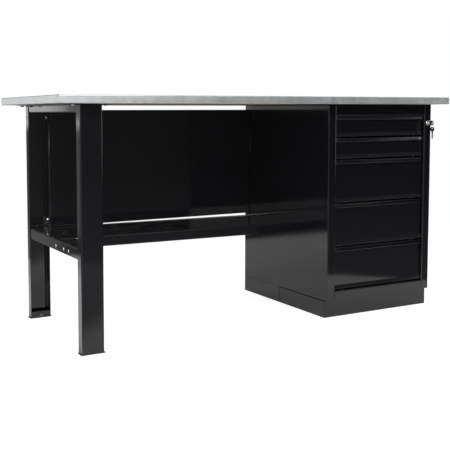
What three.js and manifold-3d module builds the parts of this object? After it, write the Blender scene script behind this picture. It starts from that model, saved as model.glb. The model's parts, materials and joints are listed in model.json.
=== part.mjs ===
// Steel workbench: a sheet-clad worktop on a leg frame and a five-drawer cabinet with a gang lock.
// Millimetres, +Z up, the drawers face -Y, origin on the floor below the middle of the worktop.
import * as THREE from 'three';
import { mergeVertices } from 'three/addons/utils/BufferGeometryUtils.js';
import Module from 'manifold-3d';

const wasm = await Module();
wasm.setup();

// Overall size and the planes that everything hangs on
const benchLength = 1670;
const benchDepth = 650;
const benchHeight = 860;
const topThickness = 28;
const frontOverhang = 62; // worktop front edge to the front of the legs and the cabinet
const rearOverhang = 5; // worktop rear edge to the back of the cabinet
const frameInset = 91.5; // worktop left end to the leg frame
const cabinetInset = 34; // worktop right end to the cabinet
const seat = 0.2; // assembly gap between pieces that are fixed together
const running = 1.5; // play round pieces that slide
const riding = 0.3; // gap between a sliding or hanging piece and what bears it

// Worktop
const skinGauge = 1.5;
const skinBend = 3;
const skinHem = 20; // width of the hem turned under the board
const skinMitre = 1.5; // slit between two hems at a corner

// Leg frame
const legWidth = 80;
const legFlange = 34;
const legGauge = 2;
const legBend = 3.5;
const legSetback = 5; // back of the cabinet to the back of the rear leg
const topBarHeight = 29;
const topBarFlange = 33; // flange turned out under the worktop
const lowBarTop = 354;
const lowBarHeight = 38;
const lowBarHoles = [128, 176, 255]; // along the bar, from the front of the leg
const lowBarHoleDrop = 23; // below the top of the bar
const holeRadius = 6;
const footHeight = 25;
const footGauge = 3;
const footEdge = 3; // how far the sole of a foot stands out of the leg
const footHoleHeight = 9;
const screwHoleMargin = 14; // front or rear of the frame to the worktop screws

// Shelf and back panel
const shelfGauge = 1.5;
const shelfSetback = 238; // front of the legs to the lip of the shelf
const shelfLip = 38;
const shelfReturn = 12;
const shelfEndFlange = 26;
const shelfFall = 7; // drop of the shelf from the leg frame to the cabinet
const panelGauge = 1.5;
const panelBend = 2.5;
const panelFlange = 28;
const panelBottomGap = 2; // top of the lower cross bar to the bottom edge of the panel
const panelTopGap = 18; // top edge of the panel to the underside of the worktop
const panelBoltMargin = 29; // top or bottom edge of the panel to its bolts

// Fasteners
const screwRadius = 4;
const screwHeadRadius = 7;
const screwHeadHeight = 4.5;
const hexAcrossFlats = 13;
const hexHeadHeight = 5;
const boltEnd = 2; // shank that stands out behind the sheets

// Cabinet
const cabinetWidth = 529;
const cabinetGauge = 1.5;
const cabinetBend = 2.5;
const stileWidth = 36;
const jambDepth = 20;
const plinthHeight = 68;
const plinthSetback = 16;
const plinthFrontDepth = 300; // side returns of the plinth's front cover
const topRailHeight = 44;
const bottomRailHeight = 36;
const uprightWidth = 26;
const uprightFlange = 12;
const uprightSetback = 55; // front of the cabinet to the front upright

// Drawers, listed from the top by how many units high each one is
const drawerUnits = [1, 1, 2, 2, 2];
const frontRecess = 14; // front of the cabinet to the flat face of a drawer
const frontGauge = 1.5;
const frontBend = 1.6;
const frontSideGap = 2;
const frontTopGap = 1.5;
const frontBottomGap = 5;
const frontReturn = 15.5; // flat face to the back of the folded front
const frontLap = 8; // height over which the back of the front lies on the tray
const gripReach = 10; // how far the grip stands out of the face
const gripDrop = 17; // height of the grip
const gripRise = 6; // how far the underside of the grip rises towards the face
const gripTaper = 5; // how far the top of the grip leans back
const bandHeight = 15; // slanted band along the bottom of the front
const bandReach = 6;
const trayGauge = 1.5;
const trayDepth = 508;
const trayHem = 8;
const trayTopClearance = 16;
const trayBottomClearance = 9;
const railDepth = 9; // slide rail on the side of a tray
const railHeight = 14;
const railFloorHeight = 15; // floor of the tray to the middle of its rail
const railSetback = 10; // front of the tray to the front of its rail
const runnerGauge = 1.5;
const runnerLength = 510;

// Gang lock
const lockDrop = 32; // bottom edge of the top rail to the lock
const housingRadius = 9;
const bezelRadius = 11;
const bezelHeight = 3;
const bezelChamfer = 1;
const housingDepth = 18; // behind the front of the stile
const plugRadius = 6;
const plugDepth = 22;
const camGauge = 2.5;
const camRadius = 8; // plug axis to the cam's pin
const camPinRadius = 1.8;
const camPinLength = 9;
const camPinPlay = 2.2; // round the pin in the slot of the bar
const lockBarWidth = 22;
const lockBarGauge = 2;
const lockBarShift = 4; // edge of the opening to the resting bar
const guideGauge = 1.5;
const guideDepth = 35;
const guideLeg = 20;
const catchReach = 15.5;
const catchGauge = 1.5;
const catchHeight = 14;
const catchLeg = 16;
const catchLift = 16; // middle of the rail to the bottom of the catch

// Keys
const keyBowRadius = 10;
const keyBowGauge = 3;
const keyHoleRadius = 3.2;
const keyHoleOffset = 4.5; // middle of the bow to its hole
const keyBladeLength = 30;
const keyBladeWidth = 7;
const keyBladeGauge = 2;
const keyShank = 8; // part of the blade that stays outside the plug
const keyCutDepth = 2;
const keyCuts = 4;
const keyTipChamfer = 2;
const keyTipLength = 4; // plain end of the blade in front of the cuts
const keyBladeSink = 1; // how far the blade starts inside the edge of the bow
const ringRadius = 8;
const ringWire = 0.7;

// Planes worked out from the sizes above
const leftEnd = -benchLength / 2;
const rightEnd = benchLength / 2;
const frontEdge = -benchDepth / 2;
const rearEdge = benchDepth / 2;
const underside = benchHeight - topThickness;
const frontPlane = frontEdge + frontOverhang;
const cabinetBack = rearEdge - rearOverhang;
const panelBottom = lowBarTop + panelBottomGap;
const panelTop = underside - panelTopGap;
const frameBack = cabinetBack - legSetback;
const frameLeft = leftEnd + frameInset;
const frameRight = frameLeft + legWidth;
const cabinetRight = rightEnd - cabinetInset;
const cabinetLeft = cabinetRight - cabinetWidth;
const cabinetMiddle = (cabinetLeft + cabinetRight) / 2;
const openingHalf = cabinetWidth / 2 - stileWidth;
const openingTop = underside - topRailHeight;
const openingBottom = plinthHeight + bottomRailHeight;
const drawerUnit = (openingTop - openingBottom) / drawerUnits.reduce((sum, units) => sum + units, 0);
const faceY = frontPlane + frontRecess;
const trayFront = faceY + frontReturn + seat;
const wallHalf = cabinetWidth / 2 - cabinetGauge; // inner face of a cabinet side
const lockBarHalf = openingHalf + lockBarShift; // inner edge of the resting lock bar
const catchHalf = openingHalf - frontSideGap; // reach of a drawer's catch
const trayHalf = catchHalf - catchReach; // outer face of a tray's side
const railHalf = trayHalf + railDepth;
const runnerHalf = railHalf + running + runnerGauge; // outer face of a runner
const lockX = cabinetRight - stileWidth / 2;
const lockZ = openingTop - lockDrop;

// Materials
const blackCoat = () => new THREE.MeshStandardMaterial({ color: 0x16171a, roughness: 0.22, metalness: 0.1 });
const zincSheet = () => new THREE.MeshStandardMaterial({ color: 0xa9b0b3, roughness: 0.38, metalness: 0.9 });
const zincPlate = () => new THREE.MeshStandardMaterial({ color: 0xb9bcc0, roughness: 0.3, metalness: 1 });
const chrome = () => new THREE.MeshStandardMaterial({ color: 0xd8dadd, roughness: 0.12, metalness: 1 });
const board = () => new THREE.MeshStandardMaterial({ color: 0xb49a7c, roughness: 0.85, metalness: 0 });
const blackPlastic = () => new THREE.MeshStandardMaterial({ color: 0x101012, roughness: 0.45, metalness: 0 });

const bench = new THREE.Group();

// Adds one named piece to a group.
function add(name, geometry, material, group = bench) {
  const mesh = new THREE.Mesh(geometry, material);
  mesh.name = name;
  group.add(mesh);
  return mesh;
}

// Solid of a closed geometry, for joining and cutting.
function solidOf(geometry) {
  const bare = geometry.clone();
  bare.deleteAttribute('normal');
  bare.deleteAttribute('uv');
  const welded = mergeVertices(bare);
  return new wasm.Manifold(new wasm.Mesh({
    numProp: 3,
    vertProperties: Float32Array.from(welded.getAttribute('position').array),
    triVerts: Uint32Array.from(welded.index.array),
  }));
}

function geometryOf(solid) {
  const { numProp, vertProperties, triVerts } = solid.getMesh();
  const positions = new Float32Array((vertProperties.length / numProp) * 3);
  positions.forEach((_, i) => {
    positions[i] = vertProperties[Math.floor(i / 3) * numProp + (i % 3)];
  });
  const geometry = new THREE.BufferGeometry();
  geometry.setAttribute('position', new THREE.BufferAttribute(positions, 3));
  geometry.setIndex(Array.from(triVerts));
  geometry.computeVertexNormals();
  return geometry;
}

const join = (first, ...others) => geometryOf(
  others.reduce((sum, one) => sum.add(solidOf(one)), solidOf(first)),
);
const cut = (body, ...tools) => geometryOf(
  tools.reduce((left, tool) => left.subtract(solidOf(tool)), solidOf(body)),
);
const common = (one, other) => geometryOf(solidOf(one).intersect(solidOf(other)));

// Box between two corners.
function block(x0, x1, y0, y1, z0, z1) {
  const geometry = new THREE.BoxGeometry(x1 - x0, y1 - y0, z1 - z0);
  return geometry.translate((x0 + x1) / 2, (y0 + y1) / 2, (z0 + z1) / 2);
}

// Outlines drawn as (x, y), (y, z) or (x, z) and extruded along the third axis.
const extrude = (outline, depth) => new THREE.ExtrudeGeometry(
  outline,
  { depth, bevelEnabled: false, curveSegments: 8 },
);
const axisX = new THREE.Vector3(1, 0, 0);
const axisY = new THREE.Vector3(0, 1, 0);
const axisZ = new THREE.Vector3(0, 0, 1);

const alongZ = (outline, z0, z1) => extrude(outline, z1 - z0).translate(0, 0, z0);

function alongX(outline, x0, x1) {
  const turn = new THREE.Matrix4().makeBasis(axisY, axisZ, axisX);
  return extrude(outline, x1 - x0).applyMatrix4(turn).translate(x0, 0, 0);
}

function alongY(outline, y0, y1) {
  const turn = new THREE.Matrix4().makeBasis(axisX, axisZ, axisY.clone().negate());
  return extrude(outline, y1 - y0).applyMatrix4(turn).translate(0, y1, 0);
}

// Cylinder from one point along an axis.
function rod(radius, length, axis, x, y, z, sides = 20) {
  const geometry = new THREE.CylinderGeometry(radius, radius, length, sides);
  const turn = new THREE.Quaternion().setFromUnitVectors(axisY, axis);
  const middle = axis.clone().multiplyScalar(length / 2);
  return geometry.applyQuaternion(turn).translate(x + middle.x, y + middle.y, z + middle.z);
}

// Section of a folded sheet. The corners lie on the middle of the sheet and each becomes a bend.
function foldedSheet(corners, gauge, bend, steps = 3) {
  const path = corners.map(([a, b]) => new THREE.Vector2(a, b));
  const oneSide = [];
  const otherSide = [];
  const put = (point, normal) => {
    oneSide.push(point.clone().addScaledVector(normal, gauge / 2));
    otherSide.unshift(point.clone().addScaledVector(normal, -gauge / 2));
  };
  path.forEach((corner, i) => {
    const before = path[i - 1];
    const after = path[i + 1];
    const into = corner.clone().sub(before ?? corner).normalize();
    const out = (after ?? corner).clone().sub(corner).normalize();
    const along = before ? into : out;
    const normal = new THREE.Vector2(-along.y, along.x);
    if (!before || !after) {
      put(corner, normal);
      return;
    }
    const turn = Math.atan2(into.cross(out), into.dot(out));
    const start = corner.clone().addScaledVector(into, -bend * Math.tan(Math.abs(turn) / 2));
    const centre = start.clone().addScaledVector(normal, Math.sign(turn) * bend);
    for (let step = 0; step <= steps; step += 1) {
      const spun = normal.clone().rotateAround(new THREE.Vector2(), (turn * step) / steps);
      put(centre.clone().addScaledVector(spun, -Math.sign(turn) * bend), spun);
    }
  });
  return new THREE.Shape([...oneSide, ...otherSide]);
}

// Rectangle with rounded corners.
function roundedRectangle(a0, a1, b0, b1, radius) {
  const shape = new THREE.Shape();
  shape.moveTo(a0 + radius, b0);
  shape.lineTo(a1 - radius, b0);
  shape.absarc(a1 - radius, b0 + radius, radius, -Math.PI / 2, 0);
  shape.lineTo(a1, b1 - radius);
  shape.absarc(a1 - radius, b1 - radius, radius, 0, Math.PI / 2);
  shape.lineTo(a0 + radius, b1);
  shape.absarc(a0 + radius, b1 - radius, radius, Math.PI / 2, Math.PI);
  shape.lineTo(a0, b0 + radius);
  shape.absarc(a0 + radius, b0 + radius, radius, Math.PI, Math.PI * 1.5);
  return shape;
}

// Screw or bolt: a head outside the sheet and a shank through it, along an axis that points inwards.
function fastener(head, shankLength, axis) {
  const turn = new THREE.Quaternion().setFromUnitVectors(axisY, axis.clone().negate());
  return join(head.applyQuaternion(turn), rod(screwRadius, shankLength, axis, 0, 0, 0));
}

const hexHead = () => rod(hexAcrossFlats / Math.sqrt(3), hexHeadHeight, axisY, 0, 0, 0, 6);

// Domed head: a straight rim with an arc over it.
function panHead() {
  const rim = screwHeadHeight / 4;
  const dome = [0, 1, 2, 3, 4].map((step) => {
    const angle = (step / 4) * (Math.PI / 2);
    return new THREE.Vector2(
      step === 4 ? 0 : screwHeadRadius * Math.cos(angle),
      rim + (screwHeadHeight - rim) * Math.sin(angle),
    );
  });
  const profile = [new THREE.Vector2(0, 0), new THREE.Vector2(screwHeadRadius, 0), ...dome];
  return new THREE.LatheGeometry(profile, 20);
}

addWorktop();
addLegFrame();
addShelf();
addBackPanel();
addCabinet();
drawerUnits.forEach(addDrawer);
addLock();

export default bench;

// Worktop: a board inside a galvanised sheet folded over its four edges and hemmed underneath.
function addWorktop() {
  const inside = skinGauge + seat;
  add('worktop_board', block(
    leftEnd + inside, rightEnd - inside, frontEdge + inside, rearEdge - inside,
    underside + inside, benchHeight - inside,
  ), board());

  const bendOver = (a0, a1) => {
    const shape = new THREE.Shape();
    shape.moveTo(a0, underside);
    shape.lineTo(a1, underside);
    shape.lineTo(a1, benchHeight - skinBend);
    shape.absarc(a1 - skinBend, benchHeight - skinBend, skinBend, 0, Math.PI / 2);
    shape.lineTo(a0 + skinBend, benchHeight);
    shape.absarc(a0 + skinBend, benchHeight - skinBend, skinBend, Math.PI / 2, Math.PI);
    return shape;
  };
  const outer = common(
    alongX(bendOver(frontEdge, rearEdge), leftEnd, rightEnd),
    alongY(bendOver(leftEnd, rightEnd), frontEdge, rearEdge),
  );
  const hollow = block(
    leftEnd + skinGauge, rightEnd - skinGauge, frontEdge + skinGauge, rearEdge - skinGauge,
    underside + skinGauge, benchHeight - skinGauge,
  );
  const hem = skinGauge + skinHem;
  const below = block(
    leftEnd + hem, rightEnd - hem, frontEdge + hem, rearEdge - hem,
    underside - skinGauge, underside + 2 * skinGauge,
  );
  const mitres = [[-1, -1], [-1, 1], [1, -1], [1, 1]].map(([sideX, sideY]) => {
    const slit = block(-skinHem, skinHem, -skinMitre / 2, skinMitre / 2, -skinGauge, 1.5 * skinGauge);
    slit.rotateZ(Math.atan2(sideY, sideX));
    return slit.translate(sideX * (rightEnd - hem), sideY * (rearEdge - hem), underside);
  });
  add('worktop_skin', cut(outer, hollow, below, ...mitres), zincSheet());
}

// Leg frame at the left end: two channel legs, two cross bars, feet and screws.
function addLegFrame() {
  const half = legGauge / 2;
  const barTop = underside - seat;
  const pastBend = legBend + half + seat;
  const barFront = frontPlane + pastBend;
  const barBack = frameBack - pastBend;
  const channel = (webY, flangeY) => foldedSheet([
    [frameLeft + half, flangeY],
    [frameLeft + half, webY],
    [frameRight - half, webY],
    [frameRight - half, flangeY],
  ], legGauge, legBend);
  const boltHoles = [panelBottom + panelBoltMargin, panelTop - panelBoltMargin].map((z) => rod(
    screwRadius + seat, legWidth + 2 * legGauge, axisX,
    frameLeft - legGauge, frameBack - legFlange / 2, z,
  ));
  const notch = block(
    frameLeft - legGauge, frameRight + legGauge, barFront - seat, barBack + seat,
    barTop - pastBend, underside + legGauge,
  );
  const legBottom = footGauge + seat;
  const frontLeg = alongZ(channel(frontPlane + half, frontPlane + legFlange), legBottom, barTop);
  const rearLeg = alongZ(channel(frameBack - half, frameBack - legFlange), legBottom, barTop);
  add('front_leg', cut(frontLeg, notch), blackCoat());
  add('rear_leg', cut(rearLeg, notch, ...boltHoles), blackCoat());

  // Both bars run inside the channels of the legs.
  const barLeft = frameLeft + legGauge + seat;
  const barRight = frameRight - legGauge - seat;
  const hat = foldedSheet([
    [frameLeft - topBarFlange, barTop - half],
    [barLeft + half, barTop - half],
    [barLeft + half, barTop - topBarHeight + half],
    [barRight - half, barTop - topBarHeight + half],
    [barRight - half, barTop - half],
    [frameRight + topBarFlange, barTop - half],
  ], legGauge, legBend);
  const screwX = [frameLeft - topBarFlange / 2, frameRight + topBarFlange / 2];
  const screwY = [frontPlane + screwHoleMargin, frameBack - screwHoleMargin];
  const screwHoles = screwX.flatMap((x) => screwY.map((y) => rod(
    screwRadius + seat, 3 * legGauge, axisZ, x, y, barTop - 2 * legGauge,
  )));
  add('top_crossbar', cut(alongY(hat, barFront, barBack), ...screwHoles), blackCoat());

  const channelDown = foldedSheet([
    [barLeft + half, lowBarTop - lowBarHeight],
    [barLeft + half, lowBarTop - half],
    [barRight - half, lowBarTop - half],
    [barRight - half, lowBarTop - lowBarHeight],
  ], legGauge, legBend);
  const barHoles = lowBarHoles.map((y) => rod(
    holeRadius, legWidth + 2 * legGauge, axisX,
    frameLeft - legGauge, frontPlane + y, lowBarTop - lowBarHoleDrop,
  ));
  add('lower_crossbar', cut(alongY(channelDown, barFront, barBack), ...barHoles), blackCoat());

  screwX.forEach((x, i) => screwY.forEach((y, j) => {
    const screw = fastener(panHead(), legGauge + seat, axisZ);
    const name = `worktop_screw_${['left', 'right'][i]}_${['front', 'rear'][j]}`;
    add(name, screw, zincPlate()).position.set(x, y, barTop - legGauge - seat);
  }));

  addFoot('front', frontPlane + legFlange, barFront, barLeft, barRight);
  addFoot('rear', frameBack - legFlange, barBack, barLeft, barRight);
}

// Angle in the open side of a leg, on a sole that the leg stands on, with its anchor bolt.
// The step is the way from its face to the web.
function addFoot(name, faceEdge, webEdge, left, right) {
  const step = Math.sign(webEdge - faceEdge);
  const half = footGauge / 2;
  const angle = foldedSheet([
    [faceEdge + step * half, footHeight],
    [faceEdge + step * half, half],
    [webEdge, half],
  ], footGauge, footGauge);
  const middle = (left + right) / 2;
  const hole = rod(
    screwRadius + seat, 3 * footGauge, axisY, middle, faceEdge - 1.5 * footGauge, footHoleHeight,
  );
  const outside = faceEdge + step * legFlange;
  const sole = block(
    frameLeft - footEdge, frameRight + footEdge, Math.min(faceEdge, outside), Math.max(faceEdge, outside),
    0, footGauge,
  );
  add(`${name}_foot`, join(cut(alongX(angle, left, right), hole), sole), blackCoat());
  const inward = axisY.clone().multiplyScalar(step);
  const bolt = fastener(hexHead(), footGauge + boltEnd, inward);
  add(`${name}_foot_bolt`, bolt, zincPlate()).position.set(middle, faceEdge - step * seat, footHoleHeight);
}

// Shelf from the lower cross bar to the side of the cabinet, with a lip in front and behind.
function addShelf() {
  const half = shelfGauge / 2;
  const lipFront = frontPlane + shelfSetback;
  const lipBack = frameBack - legFlange - seat;
  const sheetZ = lowBarTop + seat + half;
  const lipBottom = sheetZ + half - shelfLip;
  const right = cabinetLeft - seat;
  const section = foldedSheet([
    [lipFront + shelfReturn, lipBottom + half],
    [lipFront + half, lipBottom + half],
    [lipFront + half, sheetZ],
    [lipBack - half, sheetZ],
    [lipBack - half, lipBottom],
  ], shelfGauge, panelBend);
  const lipless = block(
    frameLeft, frameRight + seat, lipFront - half, lipBack + half, lipBottom - half, lowBarTop + seat,
  );
  const endFlange = block(
    right - shelfGauge, right, lipFront + shelfReturn + seat, lipBack - shelfReturn,
    sheetZ - shelfEndFlange, sheetZ,
  );
  const left = frameLeft + legGauge + seat;
  const tray = join(cut(alongX(section, left, right), lipless), endFlange);
  // It bears on the inner edge of the lower cross bar and falls towards the cabinet.
  const bearing = frameRight - legGauge - seat - legBend;
  const slope = shelfFall / (right - bearing);
  const fall = new THREE.Matrix4().set(1, 0, 0, 0, 0, 1, 0, 0, -slope, 0, 1, slope * bearing, 0, 0, 0, 1);
  add('shelf', tray.applyMatrix4(fall), blackCoat());
}

// Back panel: a tray with flanges turned back on four sides, bolted to the flange of the rear leg.
function addBackPanel() {
  const face = frameBack - legFlange + running;
  const left = frameRight + seat;
  const right = cabinetLeft - seat;
  const rounded = (inset) => common(
    alongX(roundedRectangle(face + inset, face + 2 * panelFlange, panelBottom + inset, panelTop - inset,
      panelBend + panelGauge - inset), left + inset, right - inset),
    alongZ(roundedRectangle(left + inset, right - inset, face + inset, face + 2 * panelFlange,
      panelBend + panelGauge - inset), panelBottom + inset, panelTop - inset),
  );
  const behind = block(
    left - panelGauge, right + panelGauge, face + panelFlange, face + 3 * panelFlange,
    panelBottom - panelGauge, panelTop + panelGauge,
  );
  const boltY = frameBack - legFlange / 2;
  const boltZ = [panelBottom + panelBoltMargin, panelTop - panelBoltMargin];
  const holes = boltZ.map((z) => rod(screwRadius + seat, 4 * panelGauge, axisX, left - panelGauge, boltY, z));
  add('back_panel', cut(rounded(0), rounded(panelGauge), behind, ...holes), blackCoat());

  boltZ.forEach((z, i) => {
    const bolt = fastener(hexHead(), legGauge + panelGauge + boltEnd, axisX);
    const name = `panel_bolt_${['lower', 'upper'][i]}`;
    add(name, bolt, zincPlate()).position.set(frameRight - legGauge - seat, boltY, z);
  });
}

// Cabinet: wrapped sides and back, top and base pans whose front flanges are the rails, uprights, plinth.
function addCabinet() {
  const half = cabinetGauge / 2;
  const jamb = cabinetMiddle + openingHalf + half;
  const mirror = (x) => 2 * cabinetMiddle - x;
  const wrap = foldedSheet([
    [mirror(jamb), frontPlane + jambDepth],
    [mirror(jamb), frontPlane + half],
    [cabinetLeft + half, frontPlane + half],
    [cabinetLeft + half, cabinetBack - half],
    [cabinetRight - half, cabinetBack - half],
    [cabinetRight - half, frontPlane + half],
    [jamb, frontPlane + half],
    [jamb, frontPlane + jambDepth],
  ], cabinetGauge, cabinetBend);
  const lockHole = rod(
    housingRadius + seat, 4 * cabinetGauge, axisY, lockX, frontPlane - cabinetGauge, lockZ,
  );
  add('cabinet_shell', cut(alongZ(wrap, plinthHeight, underside - seat), lockHole), blackCoat());

  const inner = wallHalf - seat;
  const rail = openingHalf - seat;
  const back = cabinetBack - cabinetBend - half - seat;
  const behindJamb = frontPlane + jambDepth + seat;
  const pan = (sheetZ, railZ, turnIn) => {
    const section = foldedSheet([
      [behindJamb - 2 * seat, railZ],
      [frontPlane + half, railZ],
      [frontPlane + half, sheetZ],
      [back, sheetZ],
    ], cabinetGauge, cabinetBend);
    const sheet = block(
      cabinetMiddle - inner, cabinetMiddle + inner, behindJamb, back, sheetZ - half, sheetZ + half,
    );
    const flanges = [-1, 1].map((side) => {
      const outer = cabinetMiddle + side * inner;
      const edge = outer - side * cabinetGauge;
      const [z0, z1] = [sheetZ - half, sheetZ + half + turnIn].sort((a, b) => a - b);
      return block(Math.min(outer, edge), Math.max(outer, edge), behindJamb, back, z0, z1);
    });
    return join(alongX(section, cabinetMiddle - rail, cabinetMiddle + rail), sheet, ...flanges);
  };
  const topSheet = underside - seat - half;
  const baseSheet = plinthHeight + half;
  add('cabinet_top', pan(topSheet, openingTop + half, -jambDepth), blackCoat());
  add('cabinet_base', pan(baseSheet, openingBottom - half, jambDepth), blackCoat());

  // Hat-section uprights that carry the runners.
  const crown = runnerHalf + seat;
  const foot = inner - cabinetGauge - seat;
  const rearUpright = cabinetBack - 2 * uprightSetback - uprightWidth;
  [-1, 1].forEach((side) => [frontPlane + uprightSetback, rearUpright].forEach((y, row) => {
    const wall = cabinetMiddle + side * (foot - half);
    const face = cabinetMiddle + side * (crown + half);
    const hat = foldedSheet([
      [wall, y - uprightFlange],
      [wall, y + half],
      [face, y + half],
      [face, y + uprightWidth - half],
      [wall, y + uprightWidth - half],
      [wall, y + uprightWidth + uprightFlange],
    ], cabinetGauge, cabinetBend);
    const name = `upright_${side < 0 ? 'left' : 'right'}_${['front', 'rear'][row]}`;
    add(name, alongZ(hat, baseSheet + half + seat, topSheet - half - seat), zincPlate());
  }));

  // Plinth in two pieces that meet on the sides.
  const plinthHalf = cabinetWidth / 2 - half;
  const plinthJoint = frontPlane + plinthSetback + plinthFrontDepth;
  const cover = (endY, jointY) => foldedSheet([
    [cabinetMiddle - plinthHalf, jointY],
    [cabinetMiddle - plinthHalf, endY],
    [cabinetMiddle + plinthHalf, endY],
    [cabinetMiddle + plinthHalf, jointY],
  ], cabinetGauge, cabinetBend);
  const frontCover = cover(frontPlane + plinthSetback + half, plinthJoint - seat);
  const rearCover = cover(cabinetBack - half, plinthJoint + seat);
  add('plinth_front', alongZ(frontCover, 0, plinthHeight - seat), blackCoat());
  add('plinth_rear', alongZ(rearCover, 0, plinthHeight - seat), blackCoat());
}

// Height of the bottom of a drawer's place in the opening, and of the middle of its slide rails.
function placeBottom(index) {
  const above = drawerUnits.slice(0, index + 1).reduce((sum, units) => sum + units, 0);
  return openingTop - above * drawerUnit;
}

function railMiddle(index) {
  return placeBottom(index) + frontBottomGap + trayBottomClearance + railFloorHeight;
}

// One drawer: folded front with a full-width grip, tray with slide rails, lock catch and its two runners.
function addDrawer(units, index) {
  const number = index + 1;
  const bottom = placeBottom(index) + frontBottomGap;
  const top = placeBottom(index) + units * drawerUnit - frontTopGap;
  const drawer = new THREE.Group();
  drawer.position.set(cabinetMiddle, 0, bottom);
  bench.add(drawer);

  add(`drawer_${number}_front`, drawerFront(top - bottom), blackCoat(), drawer);
  add(`drawer_${number}_tray`, drawerTray(top - bottom - trayTopClearance), zincPlate(), drawer);

  const railZ = railMiddle(index) - bottom;
  const catchTop = railZ + catchLift + catchHeight;
  const clip = foldedSheet([
    [trayHalf + seat + catchGauge / 2, trayFront + railSetback / 2 + catchLeg],
    [trayHalf + seat + catchGauge / 2, trayFront + railSetback / 2],
    [catchHalf, trayFront + railSetback / 2],
  ], catchGauge, catchGauge);
  add(`drawer_${number}_catch`, alongZ(clip, railZ + catchLift, catchTop), zincPlate(), drawer);

  const web = runnerHalf - runnerGauge / 2;
  const lip = trayHalf + running;
  const low = -railHeight / 2 - riding - runnerGauge / 2;
  const high = railHeight / 2 + running + runnerGauge / 2;
  [-1, 1].forEach((side) => {
    const channel = foldedSheet([
      [side * lip, low],
      [side * web, low],
      [side * web, high],
      [side * lip, high],
    ], runnerGauge, runnerGauge, 2);
    const runner = alongY(channel, trayFront + railSetback, trayFront + railSetback + runnerLength);
    const name = `runner_${number}_${side < 0 ? 'left' : 'right'}`;
    add(name, runner, zincPlate()).position.set(cabinetMiddle, 0, railMiddle(index));
  });
}

// Drawer front seen from the side, from the back of its top: down from the lap on the tray's front wall come
// the top, the grip that leans out and hooks back, the flat face, the slanted band, the underside and a lap.
function drawerFront(height) {
  const half = frontGauge / 2;
  const back = faceY + frontReturn;
  const section = foldedSheet([
    [back - half, height - trayTopClearance - frontLap],
    [back - half, height - half],
    [faceY - gripReach + gripTaper, height - half],
    [faceY - gripReach + half, height - gripDrop + half],
    [faceY + half, height - gripDrop + gripRise],
    [faceY + half, bandHeight],
    [faceY - bandReach + half, half],
    [back - half, half],
    [back - half, trayBottomClearance + frontLap],
  ], frontGauge, frontBend);
  const width = openingHalf - frontSideGap;
  const sides = [-1, 1].map((side) => {
    const [x0, x1] = [side * width, side * (width - frontGauge)].sort((a, b) => a - b);
    return block(x0, x1, faceY + half, back - half, half, height - half);
  });
  return join(alongX(section, -width, width), ...sides);
}

// Tray: folded floor and sides with a hem along the top, front and back walls, and a rail on each side.
function drawerTray(height) {
  const half = trayGauge / 2;
  const floor = trayBottomClearance;
  const side = trayHalf - half;
  const section = foldedSheet([
    [-side + trayHem, height - half],
    [-side, height - half],
    [-side, floor + half],
    [side, floor + half],
    [side, height - half],
    [side - trayHem, height - half],
  ], trayGauge, cabinetBend);
  const trayBack = trayFront + trayDepth;
  const wall = (y0) => block(-side, side, y0, y0 + trayGauge, floor + half, height - half);
  const rails = [-1, 1].map((sign) => {
    const [x0, x1] = [sign * side, sign * railHalf].sort((a, b) => a - b);
    const z = trayBottomClearance + railFloorHeight;
    const front = trayFront + railSetback + running;
    return block(x0, x1, front, trayBack, z - railHeight / 2, z + railHeight / 2);
  });
  return join(alongY(section, trayFront, trayBack), wall(trayFront), wall(trayBack - trayGauge), ...rails);
}

// Gang lock: a cam lock in the right stile shifts a full-height bar in front of the drawers' catches.
function addLock() {
  const lock = new THREE.Group();
  lock.position.set(lockX, frontPlane, lockZ);
  bench.add(lock);

  const bore = plugRadius + seat;
  const housing = new THREE.LatheGeometry([
    [bore, -bezelHeight],
    [bezelRadius - bezelChamfer, -bezelHeight],
    [bezelRadius, bezelChamfer - bezelHeight],
    [bezelRadius, -seat],
    [housingRadius, -seat],
    [housingRadius, housingDepth],
    [bore, housingDepth],
    [bore, -bezelHeight],
  ].map(([radius, depth]) => new THREE.Vector2(radius, depth)), 28);
  add('lock_housing', housing, chrome(), lock);

  // Plug with its keyway, and a cam behind it that carries a pin.
  const keyway = block(
    -keyBladeGauge / 2 - seat, keyBladeGauge / 2 + seat, -2 * bezelHeight, keyBladeLength - keyShank,
    -keyBladeWidth / 2 - seat, keyBladeWidth / 2 + seat,
  ).translate(0, -bezelHeight, 0);
  const barrel = rod(plugRadius, bezelHeight + plugDepth + camGauge, axisY, 0, -bezelHeight, 0, 28);
  const arm = block(-plugRadius, plugRadius, plugDepth, plugDepth + camGauge, 0, camRadius + plugRadius / 2);
  const pin = rod(camPinRadius, camGauge + camPinLength, axisY, 0, plugDepth, camRadius, 12);
  add('lock_plug', join(cut(barrel, keyway), arm, pin), chrome(), lock);

  addLockBar();

  // Working key in the plug, the split ring through its bow, and the spare key on the ring.
  const bowY = -bezelHeight - keyShank - keyBowRadius;
  const key = add('key', keyShape(), blackPlastic(), lock);
  key.rotation.set(0, Math.PI / 2, Math.PI / 2);
  key.position.y = bowY;

  const sag = keyHoleRadius - ringWire - riding; // middle of a bow's hole to the wire that bears on its rim
  const holeY = bowY - keyHoleOffset;
  const ring = new THREE.TorusGeometry(ringRadius, ringWire, 8, 28).rotateX(Math.PI / 2);
  add('key_ring', ring, chrome(), lock).position.set(0, holeY, -sag - ringRadius);
  const spare = add('spare_key', keyShape(), blackPlastic(), lock);
  spare.rotation.y = Math.PI / 2;
  spare.position.set(0, holeY, -2 * (sag + ringRadius) - keyHoleOffset);
}

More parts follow.
